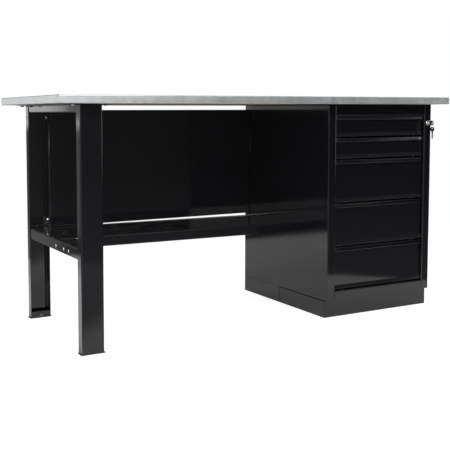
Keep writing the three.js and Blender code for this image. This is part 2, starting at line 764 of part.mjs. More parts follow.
// Key lying flat along +X in its own frame, middle of the bow at the origin, bow hole on the -X side.
function keyShape() {
  const halfBow = keyBowGauge / 2;
  const halfBlade = keyBladeGauge / 2;
  const start = Math.sqrt(keyBowRadius ** 2 - (keyBladeWidth / 2) ** 2) - keyBladeSink;
  const tip = keyBowRadius + keyBladeLength;
  const cutLength = (keyBladeLength - keyShank - keyTipLength) / keyCuts;
  const blade = new THREE.Shape();
  blade.moveTo(start, -keyBladeWidth / 2);
  blade.lineTo(tip - keyTipChamfer, -keyBladeWidth / 2);
  blade.lineTo(tip, -keyBladeWidth / 2 + keyTipChamfer);
  blade.lineTo(tip, keyBladeWidth / 2 - keyCutDepth);
  for (let i = keyCuts; i > 0; i -= 1) {
    const x = keyBowRadius + keyShank + i * cutLength;
    blade.lineTo(x, keyBladeWidth / 2);
    blade.lineTo(x - cutLength / 2, keyBladeWidth / 2 - keyCutDepth);
  }
  blade.lineTo(keyBowRadius + keyShank, keyBladeWidth / 2);
  blade.lineTo(start, keyBladeWidth / 2);
  const bow = alongZ(new THREE.Shape().absarc(0, 0, keyBowRadius, 0, Math.PI * 2), -halfBow, halfBow);
  const hole = rod(keyHoleRadius, 4 * keyBowGauge, axisZ, -keyHoleOffset, 0, -2 * keyBowGauge, 16);
  return join(cut(bow, hole), alongZ(blade, -halfBlade, halfBlade));
}

// Lock bar behind the right stile and the two guides that its ends slide in.
function addLockBar() {
  const left = cabinetMiddle + lockBarHalf;
  const right = left + lockBarWidth;
  const y0 = trayFront + seat;
  const y1 = y0 + lockBarGauge;
  const ends = [openingBottom, openingTop].map((z, i) => z + (i ? topRailHeight / 2 : seat));
  const slack = camPinRadius + camPinPlay;
  const slot = block(
    lockX - slack, lockX + slack, y0 - lockBarGauge, y1 + lockBarGauge,
    lockZ - slack, lockZ + camRadius + slack,
  );
  const bar = block(left, right, y0, y1, ends[0], ends[1]);
  add('lock_bar', cut(bar, slot), zincPlate());

  ends.forEach((end, i) => {
    const z = end + (i ? -1 : 1) * 2 * guideGauge;
    const stileBack = frontPlane + cabinetGauge + seat;
    const section = foldedSheet([
      [stileBack + guideGauge / 2, z + (i ? -guideLeg : guideLeg)],
      [stileBack + guideGauge / 2, z],
      [stileBack + guideDepth, z],
    ], guideGauge, guideGauge);
    const pastBend = cabinetBend + cabinetGauge / 2 + seat;
    const guideLeft = cabinetMiddle + openingHalf + pastBend;
    const guide = alongX(section, guideLeft, cabinetRight - pastBend);
    const slide = block(
      guideLeft - running, right + running / 2, y0 - seat, y1 + seat, z - 2 * guideGauge, z + 2 * guideGauge,
    );
    add(`lock_bar_guide_${['lower', 'upper'][i]}`, cut(guide, slide), zincPlate());
  });
}
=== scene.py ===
# Workbench with a sheet-clad top, a leg frame and a five-drawer cabinet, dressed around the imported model.
# Metres, +Z up, the drawers face -Y.
import json
import math

import bmesh
import bpy
import numpy as np
from mathutils import Matrix, Vector

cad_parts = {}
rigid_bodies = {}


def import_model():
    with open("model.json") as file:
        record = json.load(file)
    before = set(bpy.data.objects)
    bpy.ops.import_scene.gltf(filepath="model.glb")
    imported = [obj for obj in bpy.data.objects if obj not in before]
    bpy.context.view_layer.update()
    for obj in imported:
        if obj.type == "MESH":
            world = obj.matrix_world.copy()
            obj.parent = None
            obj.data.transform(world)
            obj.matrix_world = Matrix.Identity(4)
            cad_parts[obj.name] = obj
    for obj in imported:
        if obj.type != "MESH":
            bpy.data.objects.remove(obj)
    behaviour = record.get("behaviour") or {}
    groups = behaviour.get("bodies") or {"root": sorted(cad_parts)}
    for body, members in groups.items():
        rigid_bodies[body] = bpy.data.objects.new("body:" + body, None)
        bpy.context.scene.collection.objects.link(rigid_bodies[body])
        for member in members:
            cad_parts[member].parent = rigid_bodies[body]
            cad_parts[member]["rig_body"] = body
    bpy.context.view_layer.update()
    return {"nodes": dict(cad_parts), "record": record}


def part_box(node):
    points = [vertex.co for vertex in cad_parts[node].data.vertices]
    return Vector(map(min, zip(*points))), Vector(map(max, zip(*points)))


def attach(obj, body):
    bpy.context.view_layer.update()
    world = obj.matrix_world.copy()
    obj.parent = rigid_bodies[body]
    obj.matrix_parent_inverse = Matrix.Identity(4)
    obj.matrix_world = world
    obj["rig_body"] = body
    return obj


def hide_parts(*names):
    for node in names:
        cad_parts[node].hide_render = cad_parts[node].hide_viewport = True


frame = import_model()
nodes = frame["nodes"]
print("frame loaded:", len(nodes), "nodes")


# view
viewPoint = {
    "place": (-1.6824, -2.6803, 0.8010),
    "yaw": 27.18,  # degrees to the right of straight ahead (+Y)
    "dip": 4.073,  # degrees below level
    "roll": -0.204,
    "lens": 63.65,
    "sensor": 36.0,
    "farthest": 50.0,
    "shift": (0.1376, -0.1231),
}


def addCamera(v):
    yaw, dip, roll = (math.radians(v[k]) for k in ("yaw", "dip", "roll"))
    ahead = Vector((math.sin(yaw) * math.cos(dip), math.cos(yaw) * math.cos(dip), -math.sin(dip)))
    level = Vector((math.cos(yaw), -math.sin(yaw), 0.0))
    upright = level.cross(ahead)
    right = level * math.cos(roll) + upright * math.sin(roll)
    up = right.cross(ahead)
    data = bpy.data.cameras.new("camera")
    data.sensor_width = v["sensor"]
    data.lens = v["lens"]
    data.shift_x, data.shift_y = v["shift"]
    data.clip_end = v["farthest"]
    camera = bpy.data.objects.new("camera", data)
    turn = Matrix((right, up, -ahead)).transposed().to_4x4()
    camera.matrix_world = Matrix.Translation(Vector(v["place"])) @ turn
    bpy.context.scene.collection.objects.link(camera)
    bpy.context.scene.camera = camera


addCamera(viewPoint)
bpy.context.scene.view_settings.view_transform = "Standard"
print("camera placed")


# Node trees are written as calls: the kind of node, then values or links for its inputs, by name or by number
# (i0, i1 and so on).
class Shading:
    def __init__(self, tree):
        self.tree = tree
        tree.nodes.clear()

    def add(self, kind, **inputs):
        made = self.tree.nodes.new("ShaderNode" + kind)
        for key, value in inputs.items():
            numbered = key[0] == "i" and key[1:].isdigit()
            self.feed(made.inputs[int(key[1:]) if numbered else key], value)
        return made

    def feed(self, socket, value):
        if isinstance(value, bpy.types.NodeSocket):
            self.tree.links.new(value, socket)
        elif isinstance(value, bpy.types.Node):
            self.tree.links.new(value.outputs[0], socket)
        else:
            socket.default_value = value

    def math(self, operation, *values, clamp=False):
        made = self.tree.nodes.new("ShaderNodeMath")
        made.operation = operation
        made.use_clamp = clamp
        for socket, value in zip(made.inputs, values):
            self.feed(socket, value)
        return made.outputs[0]

    def chain(self, operation, first, *others):
        for other in others:
            first = self.math(operation, first, other)
        return first

    def times(self, *values):
        return self.chain("MULTIPLY", *values)

    def plus(self, *values):
        return self.chain("ADD", *values)

    def most(self, *values):
        return self.chain("MAXIMUM", *values)

    def less(self, value, share):
        # value reduced by a share of itself
        return self.times(value, self.math("SUBTRACT", 1.0, share))

    def ramp(self, value, low, high, start=0.0, end=1.0):
        # smooth step from start to end while value goes from low to high
        made = self.tree.nodes.new("ShaderNodeMapRange")
        made.interpolation_type = "SMOOTHSTEP"
        for socket, number in zip(made.inputs, (value, low, high, start, end)):
            self.feed(socket, number)
        return made.outputs[0]

    def window(self, value, rise, fall):
        # up over the first pair of limits and down again over the second
        return self.times(self.ramp(value, *rise), self.ramp(value, fall[1], fall[0]))

    def blend(self, share, one, other):
        made = self.tree.nodes.new("ShaderNodeMix")
        for socket, value in ((made.inputs[0], share), (made.inputs[2], one), (made.inputs[3], other)):
            self.feed(socket, value)
        return made.outputs[0]

    def mix(self, share, one, other):
        made = self.tree.nodes.new("ShaderNodeMix")
        made.data_type = "RGBA"
        for socket, value in ((made.inputs[0], share), (made.inputs[6], one), (made.inputs[7], other)):
            self.feed(socket, value)
        return made.outputs[2]

    def noise(self, vector, scale, detail, roughness=0.5):
        return self.add("TexNoise", Vector=vector, Scale=scale, Detail=detail, Roughness=roughness)

    def spread(self, noise, start=0.0, end=1.0):
        # most of a noise lies between these two limits
        return self.ramp(noise, 0.3, 0.7, start, end)

    def relief(self, height, strength, depth, **under):
        return self.add("Bump", Height=height, Strength=strength, Distance=depth, **under)

    def finish(self, colour, roughness, relief, **others):
        others["Base Color"] = colour
        shown = self.add("BsdfPrincipled", Roughness=roughness, Normal=relief, **others)
        self.add("OutputMaterial", Surface=shown)


def newMaterial(name):
    # material, its node tree and the place on the piece
    material = bpy.data.materials.new(name)
    material.use_nodes = True
    n = Shading(material.node_tree)
    return material, n, n.add("TexCoord").outputs["Object"]


# Room that gloss shows, as tones over the direction of the ray (x, y, z). Slopes are x / y and heights are z.
# A pair of pairs is a window that opens over the first pair and closes over the second.
roomBehind = {
    "rest": 0.06,  # dark room
    "wallTone": 1.6,  # lit wall above the level of the eye
    "wallFoot": (-0.021, -0.015),
    "wallTop": (0.36, 0.12),
    "wallEnd": (0.1, -0.1),
    "upperTones": (1.7, 0.12),  # times that tone higher up, on the left and on the right
    "upperSlopes": (-0.46, -0.42),
    "upperFoot": (0.03, 0.06),
    "rightTone": 0.6,  # the wall farther right
    "rightSlopes": (0.10, 0.30),
    "rightFoot": (0.0, 0.05),
    "patchShare": 0.88,  # darkening of a patch in the wall
    "patchSlopes": ((-0.415, -0.405), (-0.372, -0.358)),
    "patchHeights": ((-0.010, -0.006), (0.03, 0.05)),
    "lineShare": 0.9,  # darkening of the wall beside a thin bright line
    "lineSlopes": ((-0.90, -0.84), (-0.65, -0.64)),
    "lineHeights": ((-0.002, 0.0), (0.02, 0.025)),
    "lineEdge": (0.0006, 0.0014),
    "lineFalling": (0.0328, 0.0295),  # height of the line = first * slope + second, the higher of the two
    "lineRising": (-0.19, -0.1438),
    "stripTone": 0.23,  # lit strip below the wall
    "stripSlopes": ((-0.52, -0.48), (-0.37, -0.345)),
    "stripFoot": (-0.165, -0.14),
    "besideTones": (0.11, 0.26),  # paler part beside the strip, above and below
    "besideTop": (-0.125, -0.15),
}
roomInFront = {
    "tint": (1.0, 0.985, 0.995, 1.0),
    "hazeTones": (0.28, 0.085, 0.01),  # dim room, from its left to its right
    "hazeSteps": ((0.26, 0.34), (0.42, 0.62)),
    "leftTones": (0.4, 4.7),  # lit panel on the left, below and above the level of the eye
    "leftLevels": (0.02, 0.12),
    "leftEnd": (0.28, 0.22),
    "leftTop": (0.46, 0.38),
    "aheadTones": (5.2, 0.2),  # lit panel ahead, at its left end and at its right end
    "aheadSpan": (0.28, 0.60),
    "aheadEnd": (0.64, 0.60),
    "aheadHeights": ((0.20, 0.25), (0.36, 0.40)),
    "rightTone": 2.6,  # lit panel on the right
    "rightStart": (0.78, 0.86),
    "rightHeights": ((-0.10, -0.02), (0.42, 0.50)),
    "bandTone": 0.12,  # pale band over the right half
    "bandStart": (0.60, 0.64),
    "bandHeights": ((0.345, 0.36), (0.50, 0.60)),
    "lampTone": 1.0,  # lamp under that band
    "lampStart": (0.655, 0.712),
    "lampHeights": ((0.316, 0.328), (0.346, 0.352)),
    "spotTone": 0.6,  # fainter lamp left of it
    "spotSpan": ((0.636, 0.654), (0.658, 0.690)),
    "spotHeights": ((0.275, 0.29), (0.305, 0.318)),
    "floorTones": (0.11, 0.25),  # grey floor, and what is added to it close to the bench
    "floorTops": ((-0.06, -0.22), (-0.35, -0.65)),
}
studio = {
    "ambient": 0.72,  # light on matt surfaces from all round
    "sides": (-0.2, 0.1),  # y over which the room in front passes into the one behind
    "ceiling": 0.9,
    "ceilingBehind": (0.38, 0.46),
    "ceilingInFront": (0.62, 0.72),
}
softboxes = {
    "softbox": {
        "place": (0.1, -3.4, 2.9), "aim": (-0.5, -0.2, 0.7), "size": (1.5, 1.0), "power": 53.0, "gloss": True,
    },
    "fill": {
        "place": (-3.6, -0.6, 2.4), "aim": (0.2, 0.0, 0.4), "size": (1.6, 1.6), "power": 25.0, "gloss": False,
    },
}
floorSheet = {
    "low": (-2.6, -2.4),
    "high": (2.6, 1.7),
    "fade": 0.5,
    "white": (0.40, 0.40, 0.40, 1.0),
    "whiteGlow": 0.82,
    "light": (1.0, 1.0, 1.0, 1.0),
    "paperCorner": (0.885, -0.853),  # a point of the front edge of the lit paper, and that edge's slope
    "paperSlope": 0.95,
    "paperEdge": (-0.008, 0.008),
    "paperLeft": (-1.42, -1.38),
    "paperBack": (1.55, 1.5),
    "paperSpan": (-1.30, -1.02),  # x + y from the dim end to the lit end
    "paperTones": (0.30, 0.97),
    "paperColour": 0.85,  # part of the tone that is colour, and part that is light
    "paperGlow": 0.2,
    "sideGlow": 0.55,  # more of both beside the leg frame
    "sideEnd": (-0.70, -0.82),
    "sideBack": (1.3, 0.8),
}


def toneBehind(n, s, x, y, z):
    # a lit wall that ends at the level of the eye, and a dark room below it with one lit strip
    slope = n.math("DIVIDE", x, n.most(y, 0.01))
    strip = n.times(n.window(slope, *s["stripSlopes"]), n.ramp(z, *s["stripFoot"], 0.0, s["stripTone"]))
    beside = n.times(n.ramp(slope, *s["stripSlopes"][1]), n.ramp(z, *s["besideTop"], *s["besideTones"]))
    wall = n.times(n.ramp(slope, *s["wallEnd"]), n.ramp(z, *s["wallTop"]), s["wallTone"])
    patch = n.times(n.window(slope, *s["patchSlopes"]), n.window(z, *s["patchHeights"]), s["patchShare"])
    upper = n.blend(n.ramp(z, *s["upperFoot"]), 1.0, n.ramp(slope, *s["upperSlopes"], *s["upperTones"]))
    wall = n.times(n.less(wall, patch), upper)
    # farther left only a thin bright line is left of it, falling with the slope and then rising again
    falling, rising = (n.plus(n.times(slope, k), c) for k, c in (s["lineFalling"], s["lineRising"]))
    off = n.math("ABSOLUTE", n.math("SUBTRACT", z, n.most(falling, rising)))
    hidden = n.times(n.window(slope, *s["lineSlopes"]), n.window(z, *s["lineHeights"]),
                     n.ramp(off, *s["lineEdge"], 0.0, s["lineShare"]))
    right = n.times(n.ramp(slope, *s["rightSlopes"]), n.ramp(z, *s["rightFoot"], 0.0, s["rightTone"]))
    wall = n.plus(n.less(wall, hidden), right, s["rest"])
    return n.blend(n.ramp(z, *s["wallFoot"]), n.plus(strip, beside, s["rest"]), wall)


def toneInFront(n, s, x, z):
    # a dim room with lit panels left, ahead and right, a pale band with two lamps, and a grey floor close by
    left, middle, right = s["hazeTones"]
    near, far = s["hazeSteps"]
    haze = n.blend(n.ramp(x, *far), n.ramp(x, *near, left, middle), right)
    panels = [
        n.times(n.ramp(z, *s["leftLevels"], *s["leftTones"]), n.ramp(x, *s["leftEnd"]),
                n.ramp(z, *s["leftTop"])),
        n.times(n.ramp(x, *s["aheadSpan"], *s["aheadTones"]), n.ramp(x, *s["aheadEnd"]),
                n.window(z, *s["aheadHeights"])),
        n.times(n.window(x, *s["spotSpan"]), n.window(z, *s["spotHeights"]), s["spotTone"]),
    ]
    for name in ("right", "band", "lamp"):
        tone = n.ramp(x, *s[name + "Start"], 0.0, s[name + "Tone"])
        panels.append(n.times(tone, n.window(z, *s[name + "Heights"])))
    floors = [n.ramp(z, *top, 0.0, tone) for top, tone in zip(s["floorTops"], s["floorTones"])]
    return n.plus(n.most(haze, *panels), *floors)


def addWorld(s):
    # white for the camera, the room for gloss and glass, even light for all else
    world = bpy.data.worlds.new("studio")
    bpy.context.scene.world = world
    world.use_nodes = True
    n = Shading(world.node_tree)
    ray = n.add("LightPath")
    way = n.add("SeparateXYZ", i0=n.add("TexCoord").outputs["Generated"])
    x, y, z = way.outputs
    behind = n.ramp(y, *s["sides"])
    above = n.most(n.times(behind, n.ramp(z, *s["ceilingBehind"])), n.ramp(z, *s["ceilingInFront"]))
    room = n.blend(behind, toneInFront(n, roomInFront, x, z), toneBehind(n, roomBehind, x, y, z))
    room = n.blend(above, room, s["ceiling"])
    seen = n.most(ray.outputs["Is Glossy Ray"], ray.outputs["Is Transmission Ray"])
    tone = n.plus(n.times(room, seen), n.less(s["ambient"], seen))
    camera = ray.outputs["Is Camera Ray"]
    strength = n.plus(camera, n.less(tone, camera))
    tint = n.mix(n.most(camera, behind), roomInFront["tint"], (1.0, 1.0, 1.0, 1.0))
    n.add("OutputWorld", Surface=n.add("Background", Color=tint, Strength=strength))


def addSoftbox(name, s):
    data = bpy.data.lights.new(name, "AREA")
    data.shape = "RECTANGLE"
    data.size, data.size_y = s["size"]
    data.energy = s["power"]
    lamp = bpy.data.objects.new(name, data)
    lamp.location = s["place"]
    lamp.rotation_euler = (Vector(s["aim"]) - lamp.location).to_track_quat("-Z", "Y").to_euler()
    lamp.visible_glossy = s["gloss"]
    bpy.context.scene.collection.objects.link(lamp)


def addFloor(s):
    # seen by the camera it is white and fades out at its edges; seen in gloss only the lit paper on it shows
    (x0, y0), (x1, y1) = s["low"], s["high"]
    mesh = bpy.data.meshes.new("floor")
    mesh.from_pydata([(x0, y0, 0), (x1, y0, 0), (x1, y1, 0), (x0, y1, 0)], [], [(0, 1, 2, 3)])
    floor = bpy.data.objects.new("floor", mesh)
    bpy.context.scene.collection.objects.link(floor)
    material, n, spot = newMaterial("studioFloor")
    x, y = n.add("SeparateXYZ", i0=spot).outputs[:2]
    fade = s["fade"]
    edges = n.times(n.ramp(x, x0, x0 + fade), n.ramp(x, x1, x1 - fade),
                    n.ramp(y, y0, y0 + fade), n.ramp(y, y1, y1 - fade))
    # the paper lies behind its slanted front edge and before its back edge, dimmer to the front
    cornerX, cornerY = s["paperCorner"]
    inside = n.math("SUBTRACT", n.math("SUBTRACT", y, cornerY),
                    n.times(n.math("SUBTRACT", x, cornerX), s["paperSlope"]))
    lit = n.times(n.ramp(inside, *s["paperEdge"]), n.ramp(y, *s["paperBack"]), n.ramp(x, *s["paperLeft"]))
    glow = n.ramp(n.plus(x, y), *s["paperSpan"], *s["paperTones"])
    side = n.times(n.ramp(x, *s["sideEnd"]), n.ramp(y, *s["sideBack"]))
    glow = n.times(glow, n.plus(n.times(side, s["sideGlow"]), 1.0))
    share = n.times(glow, s["paperColour"])
    grey = n.add("CombineColor", i0=share, i1=share, i2=share)
    white, paper = (
        n.add("AddShader", i0=n.add("BsdfDiffuse", Color=colour),
              i1=n.add("Emission", Color=s["light"], Strength=strength))
        for colour, strength in ((s["white"], s["whiteGlow"]), (grey, n.times(glow, s["paperGlow"]))))
    clear = n.add("BsdfTransparent")
    seen = n.add("MixShader", i0=edges, i1=clear, i2=white)
    mirrored = n.add("MixShader", i0=lit, i1=clear, i2=paper)
    camera = n.add("LightPath").outputs["Is Camera Ray"]
    n.add("OutputMaterial", Surface=n.add("MixShader", i0=camera, i1=mirrored, i2=seen))
    mesh.materials.append(material)


addWorld(studio)
for name, sizes in softboxes.items():
    addSoftbox(name, sizes)
addFloor(floorSheet)
print("studio lit")


# Finishes. Grain is per metre, a relief is (strength, depth in metres), and a pair of roughnesses runs from
# the glossiest to the dullest spot.
coatFinish = {
    "colour": (0.0057, 0.0054, 0.0075, 1.0),
    "roughness": (0.055, 0.085),
    "refraction": 1.58,
    "peel": 900.0,
    "peelRelief": (0.04, 0.0003),
    "wave": 7.0,
    "waveRelief": (0.07, 0.002),
    "cloud": 22.0,
    "dust": (0.030, 0.030, 0.031, 1.0),
    "dustSlopes": (0.6, 1.0),  # upward part of the normal, from clean to dusty
    "dustCloud": (0.4, 0.75),
    "dustShares": (0.1, 0.7),
    "dustRoughness": 0.15,
}
sheetFinish = {
    "light": (0.605, 0.634, 0.632, 1.0),
    "dark": (0.515, 0.543, 0.542, 1.0),
    "roughness": (0.32, 0.38),
    "spangle": 70.0,  # crystals of the zinc
    "spangleShare": 0.30,
    "spangleHeight": 0.5,
    "cloud": 5.0,
    "cloudShare": 0.60,
    "rolled": (6.0, 900.0, 900.0),
    "rolledRoughness": 0.04,
    "relief": (0.06, 0.0003),
}
platedFinish = {
    "cloud": 35.0,
    "roughness": (-0.04, 0.05),  # added to that of each metal
    "relief": (0.05, 0.0002),
}
boardFinish = {
    "chips": (260.0, 260.0, 500.0),
    "dark": (0.28, 0.19, 0.11, 1.0),
    "light": (0.52, 0.39, 0.25, 1.0),
    "glued": (0.42, 0.31, 0.19, 1.0),
    "cloud": 60.0,
    "cloudLimits": (0.35, 0.7),
    "roughness": 0.8,
    "relief": (0.3, 0.0005),
}
plasticFinish = {
    "dark": (0.010, 0.010, 0.011, 1.0),
    "light": (0.016, 0.016, 0.017, 1.0),
    "roughness": (0.38, 0.5),
    "grain": 2600.0,
    "relief": (0.2, 0.0001),
}


def powderCoat(f):
    # near-black gloss with fine orange peel, a slow waviness of the sheet and a trace of dust on top faces
    material, n, spot = newMaterial("powderCoat")
    cloud = n.noise(spot, f["cloud"], 5.0, 0.6)
    up = n.add("SeparateXYZ", i0=n.add("NewGeometry").outputs["Normal"]).outputs[2]
    dust = n.times(n.ramp(up, *f["dustSlopes"]), n.ramp(cloud, *f["dustCloud"], *f["dustShares"]))
    roughness = n.plus(n.spread(cloud, *f["roughness"]), n.times(dust, f["dustRoughness"]))
    wave = n.relief(n.noise(spot, f["wave"], 1.0), *f["waveRelief"])
    peel = n.relief(n.noise(spot, f["peel"], 2.0, 0.55), *f["peelRelief"], Normal=wave)
    n.finish(n.mix(dust, f["colour"], f["dust"]), roughness, peel, IOR=f["refraction"])
    return material


def galvanised(f):
    # zinc crystals of two tones, each with its own gloss, over a faint rolling grain along X
    material, n, spot = newMaterial("galvanised")
    crystal = n.add("TexVoronoi", Vector=spot, Scale=f["spangle"], Randomness=1.0)
    tone, gloss, height = n.add("SeparateColor", Color=crystal.outputs["Color"]).outputs
    rolled = n.noise(n.add("Mapping", Vector=spot, Scale=f["rolled"]), 1.0, 3.0)
    cloud = n.noise(spot, f["cloud"], 4.0)
    share = n.math("ADD", n.times(tone, f["spangleShare"]), n.times(cloud, f["cloudShare"]), clamp=True)
    roughness = n.plus(n.ramp(gloss, 0.0, 1.0, *f["roughness"]), n.times(rolled, f["rolledRoughness"]))
    relief = n.relief(n.plus(n.times(height, f["spangleHeight"]), rolled), *f["relief"])
    n.finish(n.mix(share, f["dark"], f["light"]), roughness, relief, Metallic=1.0)
    return material


def platedSteel(name, bright, dull, roughness, drawn=(300.0, 300.0, 300.0), f=platedFinish):
    # bright plating: cloudy tone, fine drawn grain
    material, n, spot = newMaterial(name)
    grain = n.noise(n.add("Mapping", Vector=spot, Scale=drawn), 1.0, 2.0)
    colour = n.mix(n.spread(n.noise(spot, f["cloud"], 4.0)), (*dull, 1.0), (*bright, 1.0))
    roughness = n.spread(grain, *(roughness + more for more in f["roughness"]))
    n.finish(colour, roughness, n.relief(grain, *f["relief"]), Metallic=1.0)
    return material


def particleBoard(f):
    # pressed chips, each with its own tone, darker clouds over them and pits between them
    material, n, spot = newMaterial("particleBoard")
    chips = n.add("TexVoronoi", Vector=n.add("Mapping", Vector=spot, Scale=f["chips"]), Scale=1.0)
    tone = n.add("SeparateColor", Color=chips.outputs["Color"])
    cloud = n.ramp(n.noise(spot, f["cloud"], 3.0), *f["cloudLimits"])
    colour = n.mix(cloud, n.mix(tone, f["dark"], f["light"]), f["glued"])
    n.finish(colour, f["roughness"], n.relief(chips.outputs["Distance"], *f["relief"]))
    return material


def blackPlastic(f):
    # fine moulded grain
    material, n, spot = newMaterial("blackPlastic")
    grain = n.noise(spot, f["grain"], 2.0)
    colour = n.mix(grain, f["dark"], f["light"])
    n.finish(colour, n.spread(grain, *f["roughness"]), n.relief(grain, *f["relief"]))
    return material


coat = powderCoat(coatFinish)
sheetMetal = galvanised(sheetFinish)
zinc = platedSteel("zincPlate", (0.66, 0.67, 0.68), (0.52, 0.53, 0.54), 0.30, (40.0, 900.0, 900.0))
# shaded zinc is painted shade: a darker copy of the zinc plating for fasteners and parts that stand in shade
shadedZinc = platedSteel("shadedZinc", (0.16, 0.16, 0.16), (0.07, 0.07, 0.07), 0.30)
nickel = platedSteel("nickelPlate", (0.80, 0.79, 0.77), (0.70, 0.69, 0.67), 0.16)
keySteel = platedSteel("keySteel", (0.70, 0.69, 0.66), (0.60, 0.59, 0.57), 0.24)
chipboard = particleBoard(boardFinish)
plastic = blackPlastic(plasticFinish)
print("finishes mixed")

finishOfSlot = {
    "black_coat": coat,
    "worktop_sheet": sheetMetal,
    "board": chipboard,
    "zinc_sheet": zinc,
    "fastener": zinc,
    "lock_metal": nickel,
    "key_bow": plastic,
}
slotOfNode = {part["node"]: part["material_slot"] for part in frame["record"]["subparts"]}


# Shape tools. A shell is (points, [arrays of face indices]) and is closed.
edgeSizes = {
    "sharp": 35.0,  # degrees from which an edge stays sharp
    "bevelFrom": 50.0,  # degrees from which an edge is rounded
    "segments": 2,
    "flatWeight": 100,  # large facets keep their own normal and the bends between them take up the turn
    "doubles": 1e-7,
    "modelDoubles": 2e-6,
    "flatWithin": 0.5,  # degrees within which facets of the model are one face
}


def outward(points, faces):
    # a closed shell faces outwards when the tetrahedra from its middle to its faces add up to more than zero
    middle = points.mean(axis=0)
    total = 0.0
    for face in faces:
        p = points[face] - middle
        for i in range(1, p.shape[1] - 1):
            total += np.einsum("ij,ij->i", p[:, 0], np.cross(p[:, i], p[:, i + 1])).sum()
    return faces if total > 0 else [face[:, ::-1] for face in faces]


def newPiece(name, shells, material, body, replaced=(), bevel=0.0):
    points, polygons, offset = [], [], 0
    for shellPoints, shellFaces in shells:
        for face in outward(shellPoints, shellFaces):
            polygons += (face + offset).tolist()
        points.append(shellPoints)
        offset += len(shellPoints)
    mesh = bpy.data.meshes.new(name)
    mesh.from_pydata(np.concatenate(points).tolist(), [], polygons)
    finishPiece(name, mesh, material, body, replaced, bevel)


def finishPiece(name, mesh, material, body, replaced, bevel):
    work = bmesh.new()
    work.from_mesh(mesh)
    bmesh.ops.remove_doubles(work, verts=work.verts, dist=edgeSizes["doubles"])
    bmesh.ops.dissolve_degenerate(work, edges=work.edges, dist=edgeSizes["doubles"])
    work.to_mesh(mesh)
    work.free()
    mesh.shade_smooth()
    mesh.set_sharp_from_angle(angle=math.radians(edgeSizes["sharp"]))
    mesh.materials.clear()
    mesh.materials.append(material)
    piece = bpy.data.objects.new(name, mesh)
    bpy.context.scene.collection.objects.link(piece)
    if bevel:
        edge = piece.modifiers.new("edges", "BEVEL")
        edge.width = bevel
        edge.segments = edgeSizes["segments"]
        edge.limit_method = "ANGLE"
        edge.angle_limit = math.radians(edgeSizes["bevelFrom"])
    flat = piece.modifiers.new("flat faces", "WEIGHTED_NORMAL")
    flat.weight = edgeSizes["flatWeight"]
    flat.keep_sharp = True
    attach(piece, body)
    if replaced:
        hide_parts(*replaced)
    return piece


def ringFaces(rows, columns):
    # quads of a grid of rows x columns points, the columns closed into a ring
    row, column = np.meshgrid(np.arange(rows - 1), np.arange(columns), indexing="ij")
    following = (column + 1) % columns
    return np.stack([
        row * columns + column, row * columns + following,
        (row + 1) * columns + following, (row + 1) * columns + column,
    ], axis=-1).reshape(-1, 4)


def sweptFaces(rows, columns):
    # ring faces, and each end closed by a strip of quads from one side of the section to the other
    i = np.arange(columns // 2 - 1)
    cap = np.stack([i, i + 1, columns - 2 - i, columns - 1 - i], axis=1)
    return [ringFaces(rows, columns), cap[:, ::-1], cap + (rows - 1) * columns]


def foldedLine(corners, gauge, bend, steps):
    # middle line of a folded sheet: every inner corner becomes an arc, centre + bend * (turned normal),
    # and the two skins lie half a gauge on either side of it
    c = np.array(corners, float)
    way = np.diff(c, axis=0)
    way /= np.linalg.norm(way, axis=1, keepdims=True)
    normal = np.stack([-way[:, 1], way[:, 0]], axis=1)
    turn = np.arctan2(way[:-1, 0] * way[1:, 1] - way[:-1, 1] * way[1:, 0], (way[:-1] * way[1:]).sum(axis=1))
    bend = np.broadcast_to(np.asarray(bend, float), turn.shape)
    start = c[1:-1] - way[:-1] * (bend * np.tan(np.abs(turn) / 2))[:, None]
    side = (np.sign(turn) * bend)[:, None]
    centre = start + normal[:-1] * side
    angle = turn[:, None] * np.linspace(0.0, 1.0, steps + 1)
    cos, sin = np.cos(angle), np.sin(angle)
    spun = np.stack([
        cos * normal[:-1, None, 0] - sin * normal[:-1, None, 1],
        sin * normal[:-1, None, 0] + cos * normal[:-1, None, 1],
    ], axis=-1)
    arcs = centre[:, None] - spun * side[:, None]
    line = np.concatenate([c[:1], arcs.reshape(-1, 2), c[-1:]])
    normals = np.concatenate([normal[:1], spun.reshape(-1, 2), normal[-1:]])
    return line + normals * gauge / 2, line - normals * gauge / 2


def carried(one, other, stations, axis):
    # section carried along an axis: points (station, one side out and the other back), closed at both ends
    loop = np.concatenate([one, other[::-1]])
    along = np.asarray(stations, float)
    grid = np.empty((len(along), len(loop), 3))
    first, second, third = {"x": (1, 2, 0), "y": (0, 2, 1), "z": (0, 1, 2)}[axis]
    grid[:, :, first] = loop[:, 0]
    grid[:, :, second] = loop[:, 1]
    grid[:, :, third] = along[:, None] if along.ndim == 1 else along
    return grid.reshape(-1, 3), sweptFaces(len(along), len(loop))


def plate(low, high):
    # flat cut plate between two corners
    low, high = np.minimum(low, high), np.maximum(low, high)
    u = np.array([(i & 1, i >> 1 & 1, i >> 2 & 1) for i in range(8)], float)
    faces = np.array([(0, 2, 3, 1), (4, 5, 7, 6), (0, 1, 5, 4), (2, 6, 7, 3), (0, 4, 6, 2), (1, 3, 7, 5)])
    return low + u * (high - low), [faces]


def lathe(radii, heights, count, outline=None):
    # profile turned about the local Z axis: (r cos u, r sin u, z); outline may change r and z with u
    u = np.arange(count) * 2 * np.pi / count
    r = np.broadcast_to(np.asarray(radii, float)[:, None], (len(radii), count)).copy()
    z = np.broadcast_to(np.asarray(heights, float)[:, None], (len(heights), count)).copy()
    if outline:
        r, z = outline(u, r, z)
    grid = np.stack([r * np.cos(u), r * np.sin(u), z], axis=-1)
    return grid.reshape(-1, 3), [ringFaces(len(radii), count)]


